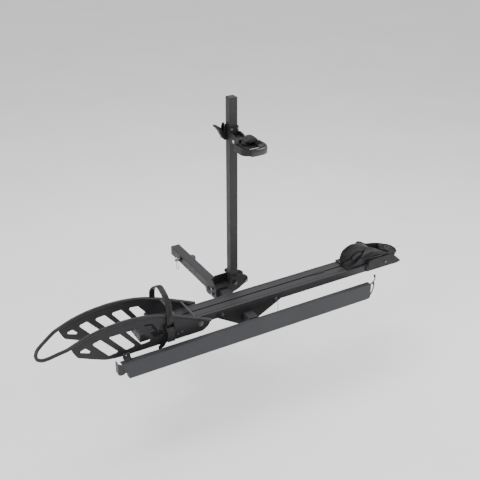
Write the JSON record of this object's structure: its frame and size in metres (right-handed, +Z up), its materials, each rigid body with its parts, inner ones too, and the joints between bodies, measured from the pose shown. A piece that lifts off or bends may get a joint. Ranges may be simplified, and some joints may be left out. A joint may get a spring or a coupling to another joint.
{
  "type": "hitch mounted bike rack",
  "caption": "Platform rack for one heavy bicycle: square hitch shank, tilting carrier, folding mast with clamp, wheel tray, front wheel basket, rear wheel cradle and stowed ramp.",
  "frame": {"origin": "centre of the hitch-pin hole on the receiver shank's axis", "axes": "+X along the wheel tray towards the rear wheel cradle, +Y along the shank into the vehicle's receiver, +Z up"},
  "size_m": [1.909, 0.85, 1.04],
  "materials": {
    "black_powder_coat": "satin black powder coat with a fine orange-peel texture",
    "black_anodised_aluminium": "matt black anodised extrusion with lengthwise die lines",
    "dark_zinc_steel": "dark zinc plating, slightly worn on the edges",
    "black_rubber": "ribbed black rubber and flexible strap plastic",
    "black_plastic": "moulded black glass-filled plastic"
  },
  "bodies": {
    "shank": {"receiver_shank": "black_powder_coat", "shank_end_plug": "black_plastic"},
    "hitch_pin": {"hitch_pin": "dark_zinc_steel"},
    "hitch_clip": {"hitch_pin_clip": "dark_zinc_steel"},
    "carrier": {"yoke_plate_left": "black_powder_coat", "yoke_plate_right": "black_powder_coat", "spine_block": "black_powder_coat", "tilt_pivot_bolt": "dark_zinc_steel", "carrier_bolts": "dark_zinc_steel", "mast_bracket_rear": "black_powder_coat", "mast_bracket_front": "black_powder_coat", "mast_pivot_bolt": "dark_zinc_steel", "spine_tube": "black_powder_coat", "ramp_carrier_bracket": "black_powder_coat", "tray_bracket_front": "black_powder_coat", "tray_bracket_rear": "black_powder_coat", "tray_bracket_bolts": "dark_zinc_steel", "wheel_tray": "black_anodised_aluminium", "tray_end_cap_left": "black_plastic", "tray_end_wedge": "black_plastic", "t_slot_stop": "black_anodised_aluminium", "ramp_wire_hook": "dark_zinc_steel", "basket_pivot_bolt": "dark_zinc_steel"},
    "tilt_lock_pin": {"tilt_lock_pin": "dark_zinc_steel", "tilt_lock_knob": "black_plastic"},
    "mast": {"mast_tube": "black_powder_coat", "mast_cap": "black_plastic"},
    "mast_lock_pin": {"mast_lock_pin": "dark_zinc_steel", "mast_lock_knob": "black_plastic"},
    "clamp": {"clamp_collar": "black_powder_coat", "clamp_cam_ears": "black_powder_coat", "clamp_arm": "black_powder_coat", "clamp_arm_bolts": "dark_zinc_steel", "clamp_hook": "black_plastic", "clamp_hook_sleeve": "black_rubber", "clamp_hook_strap": "black_rubber", "clamp_buckle_body": "black_plastic"},
    "clamp_cam_lever": {"clamp_cam_lever": "black_plastic"},
    "clamp_ratchet_lever": {"clamp_ratchet_lever": "black_plastic"},
    "basket": {"basket_plate_near": "black_powder_coat", "basket_plate_far": "black_powder_coat", "basket_rim_rod": "black_powder_coat", "basket_cross_bars": "black_powder_coat", "basket_plate_bolts": "dark_zinc_steel", "front_wheel_strap": "black_rubber", "front_strap_anchor": "black_powder_coat", "front_strap_tail": "black_rubber", "front_buckle_body": "black_plastic"},
    "front_buckle_lever": {"front_buckle_lever": "black_plastic"},
    "rear_holder": {"rear_holder_saddle": "black_plastic", "rear_cradle": "black_plastic", "rear_holder_fasteners": "dark_zinc_steel", "rear_buckle_body": "black_plastic"},
    "rear_clamp_knob": {"rear_clamp_knob": "black_plastic"},
    "rear_buckle_lever": {"rear_buckle_lever": "black_plastic"},
    "ramp": {"loading_ramp": "black_anodised_aluminium", "ramp_foot_plate": "black_powder_coat", "ramp_end_hooks": "dark_zinc_steel", "ramp_hook_tips": "black_rubber", "ramp_steady_tab": "black_powder_coat"}
  },
  "joints": [
    {"name": "hitch_pin_slide", "type": "slide", "parent": "shank", "child": "hitch_pin", "axis": [1, 0, 0], "range_m": [0, 0.012]},
    {"name": "hitch_clip_pull", "type": "slide", "parent": "hitch_pin", "child": "hitch_clip", "axis": [0, 0, -1], "range_m": [0, 0.06]},
    {"name": "rack_tilt", "type": "hinge", "parent": "shank", "child": "carrier", "pos_m": [0, -0.333, 0], "axis": [1, 0, 0], "range_deg": [-90, 25]},
    {"name": "tilt_lock_pull", "type": "slide", "parent": "carrier", "child": "tilt_lock_pin", "axis": [1, 0, 0], "range_m": [-0.012, 0]},
    {"name": "mast_fold", "type": "hinge", "parent": "carrier", "child": "mast", "pos_m": [0.07, -0.39, 0.045], "axis": [0, 1, 0], "range_deg": [0, 70]},
    {"name": "mast_lock_pull", "type": "slide", "parent": "carrier", "child": "mast_lock_pin", "axis": [0, 1, 0], "range_m": [-0.012, 0]},
    {"name": "clamp_height", "type": "slide", "parent": "mast", "child": "clamp", "axis": [0, 0, 1], "range_m": [-0.55, 0.08]},
    {"name": "clamp_cam_open", "type": "hinge", "parent": "clamp", "child": "clamp_cam_lever", "pos_m": [0.036, -0.377, 0.797], "axis": [0, -1, 0], "range_deg": [0, 95]},
    {"name": "clamp_ratchet_open", "type": "hinge", "parent": "clamp", "child": "clamp_ratchet_lever", "pos_m": [0.113, -0.529, 0.813], "axis": [0, 1, 0], "range_deg": [0, 75]},
    {"name": "basket_fold", "type": "hinge", "parent": "carrier", "child": "basket", "pos_m": [-0.251, -0.588, 0.056], "axis": [0, 1, 0], "range_deg": [0, 80]},
    {"name": "front_buckle_open", "type": "hinge", "parent": "basket", "child": "front_buckle_lever", "pos_m": [-0.408, -0.6875, 0.092], "axis": [-1, 0, 0], "range_deg": [0, 100]},
    {"name": "rear_holder_slide", "type": "slide", "parent": "carrier", "child": "rear_holder", "axis": [1, 0, 0], "range_m": [-0.1, 0]},
    {"name": "rear_knob_turn", "type": "hinge", "parent": "rear_holder", "child": "rear_clamp_knob", "pos_m": [0.716, -0.654, 0.084], "axis": [0, -1, 0], "range_deg": [0, 180]},
    {"name": "rear_buckle_open", "type": "hinge", "parent": "rear_holder", "child": "rear_buckle_lever", "pos_m": [0.662, -0.632, 0.146], "axis": [0, 1, 0], "range_deg": [0, 75]},
    {"name": "ramp_lift_off", "type": "slide", "parent": "carrier", "child": "ramp", "axis": [0, -1, 0], "range_m": [0, 0.15]}
  ]
}
